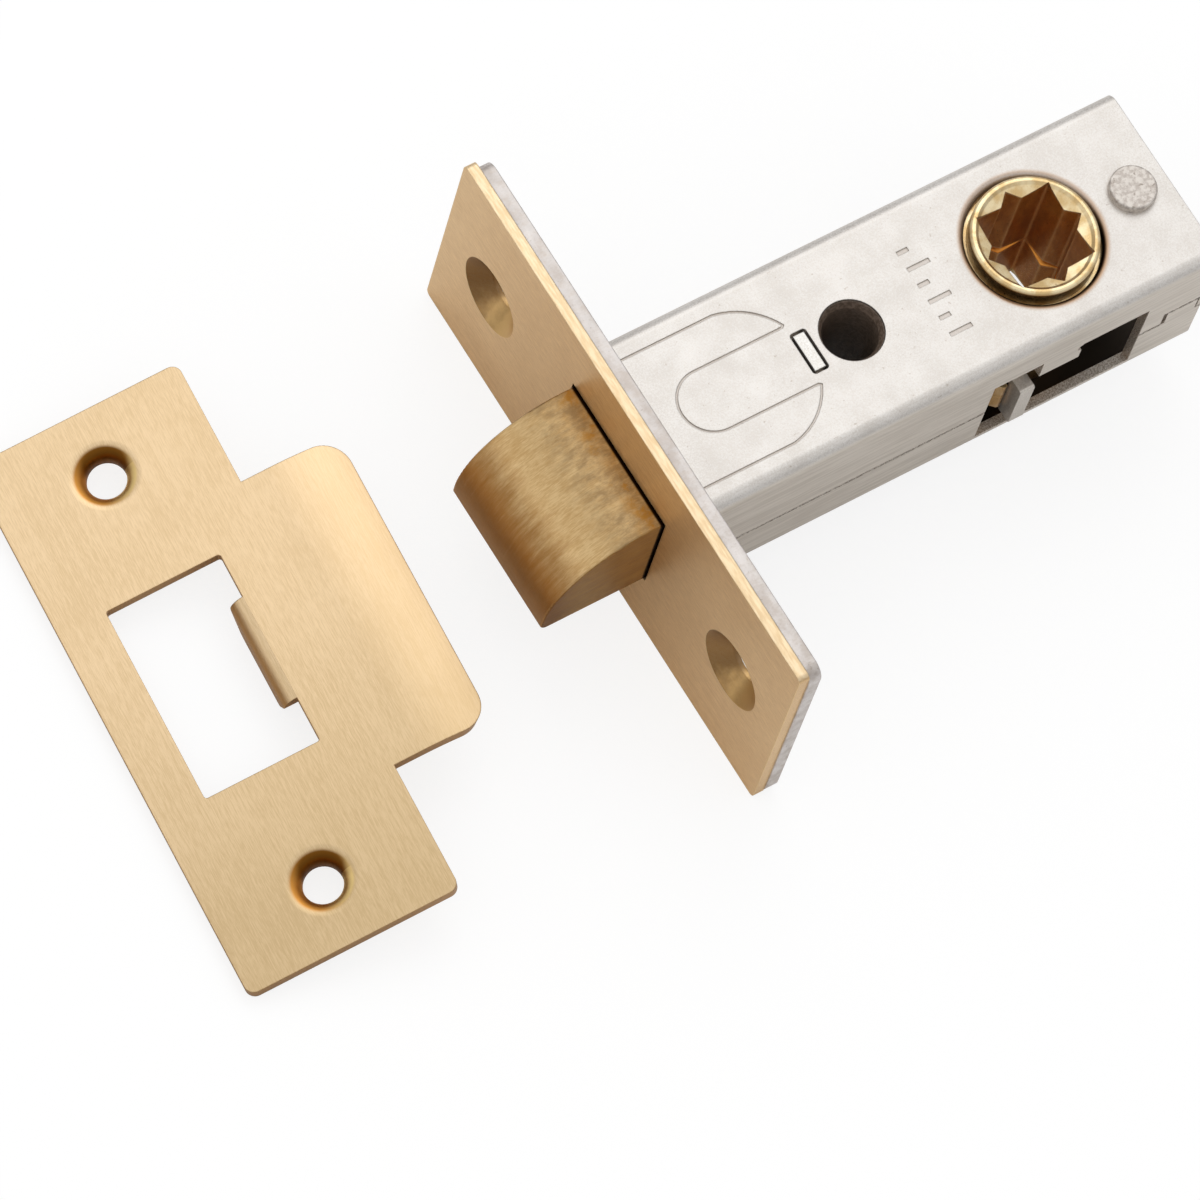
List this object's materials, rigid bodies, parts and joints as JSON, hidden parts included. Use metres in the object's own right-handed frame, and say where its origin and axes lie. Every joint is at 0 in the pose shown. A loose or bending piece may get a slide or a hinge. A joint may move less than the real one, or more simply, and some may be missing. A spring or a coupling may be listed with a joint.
{
  "type": "tubular mortice latch with strike plate",
  "caption": "Tubular sprung door latch with a bevelled bolt, a split spindle follower and a square-ended forend, with its flat strike plate beside it.",
  "frame": {"origin": "centre of the forend's front face, on the axis of the latch bolt", "axes": "+X runs back into the door, so the bolt points along -X; +Y runs along the forend; +Z is the spindle axis, out of the case's front shell"},
  "size_m": [0.1112, 0.0618, 0.0262],
  "materials": {
    "forend_cover": "satin, brushed along its length",
    "forend_plate": "plain sheared steel",
    "case_front_shell": "zinc plated, dull",
    "case_back_shell": "zinc plated, dull",
    "spring_stop_plate": "zinc plated",
    "fixing_sleeve": "matte black",
    "rear_rivet": "zinc plated, speckled",
    "rivet_spacer": "zinc plated",
    "bolt_spring": "spring wire",
    "return_spring": "spring wire",
    "latch_bolt": "satin, worn",
    "tail_bar_left": "zinc plated",
    "tail_bar_right": "zinc plated",
    "tail_rivets": "plain",
    "cam_front": "cast, bright rim",
    "cam_back": "cast, bright rim",
    "strike_plate": "satin, brushed along its length"
  },
  "bodies": {
    "case": {"forend_cover": "forend_cover", "forend_plate": "forend_plate", "case_front_shell": "case_front_shell", "case_back_shell": "case_back_shell", "spring_stop_plate": "spring_stop_plate", "fixing_sleeve": "fixing_sleeve", "rear_rivet": "rear_rivet", "rivet_spacer": "rivet_spacer", "bolt_spring": "bolt_spring", "return_spring": "return_spring"},
    "bolt": {"latch_bolt": "latch_bolt", "tail_bar_left": "tail_bar_left", "tail_bar_right": "tail_bar_right", "tail_rivets": "tail_rivets"},
    "cam_front": {"cam_front": "cam_front"},
    "cam_back": {"cam_back": "cam_back"},
    "strike": {"strike_plate": "strike_plate"}
  },
  "joints": [
    {"name": "cam_front_turn", "type": "hinge", "parent": "case", "child": "cam_front", "pos_m": [0.045, 0, 0], "axis": [0, 0, 1], "range_deg": [0, 61.3]},
    {"name": "cam_back_turn", "type": "hinge", "parent": "case", "child": "cam_back", "pos_m": [0.045, 0, 0], "axis": [0, 0, 1], "range_deg": [0, 61.3]},
    {"name": "bolt_slide", "type": "slide", "parent": "case", "child": "bolt", "axis": [1, 0, 0], "range_m": [0, 0.0111], "deforming": ["bolt_spring", "return_spring"]},
    {"name": "strike_lift", "type": "slide", "parent": "case", "child": "strike", "axis": [0, 0, 1], "range_m": [0, 0.03]}
  ],
  "couplings": [
    {"joint": "cam_back_turn", "follows": "cam_front_turn", "ratio": 1},
    {"joint": "bolt_slide", "follows": "cam_front_turn", "m_per_rad": 0.01028}
  ]
}
